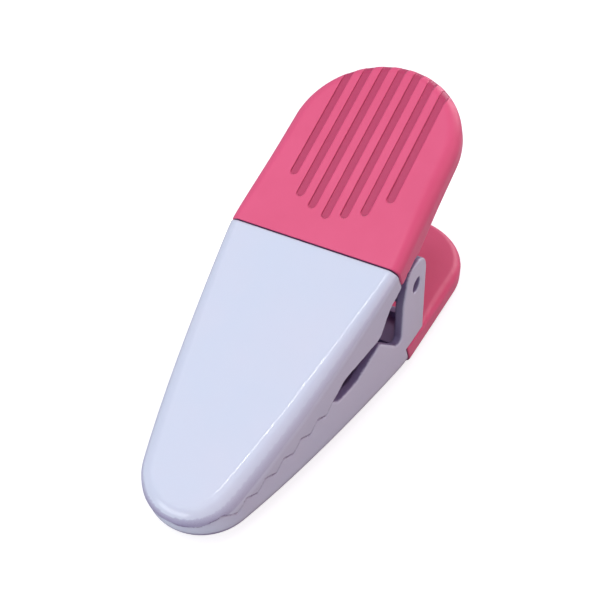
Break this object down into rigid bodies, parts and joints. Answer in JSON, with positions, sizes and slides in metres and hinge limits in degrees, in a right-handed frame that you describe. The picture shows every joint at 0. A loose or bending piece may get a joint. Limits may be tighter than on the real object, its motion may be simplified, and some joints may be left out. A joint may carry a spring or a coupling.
{
  "type": "bag clip",
  "caption": "Large spring bag clip: two hollow jaws with matching teeth, soft grips, a hinge pin and a torsion spring.",
  "frame": {"origin": "on the back lever's flat outer face, straight below the hinge pin, in the middle of the clip's width", "axes": "+X along the hinge pin, +Y from the toothed tip towards the grips, +Z from the back lever up to the front lever"},
  "size_m": [0.0398, 0.1105, 0.055],
  "materials": {
    "white_plastic": "glossy moulded plastic, cool white",
    "pink_plastic": "satin moulded plastic, warm pink",
    "steel": "drawn wire and ground pin"
  },
  "bodies": {
    "back_lever": {"back_jaw": "white_plastic", "back_grip": "pink_plastic", "pivot_pin": "steel", "torsion_spring": "steel"},
    "front_lever": {"front_jaw": "white_plastic", "front_grip": "pink_plastic"}
  },
  "joints": [
    {"name": "clip_hinge", "type": "hinge", "parent": "back_lever", "child": "front_lever", "pos_m": [0, 0, 0.02437], "axis": [-1, 0, 0], "range_deg": [0, 55], "stiffness_Nm_per_rad": 0.35, "springref_deg": -40.11, "deforming": ["torsion_spring"]}
  ]
}
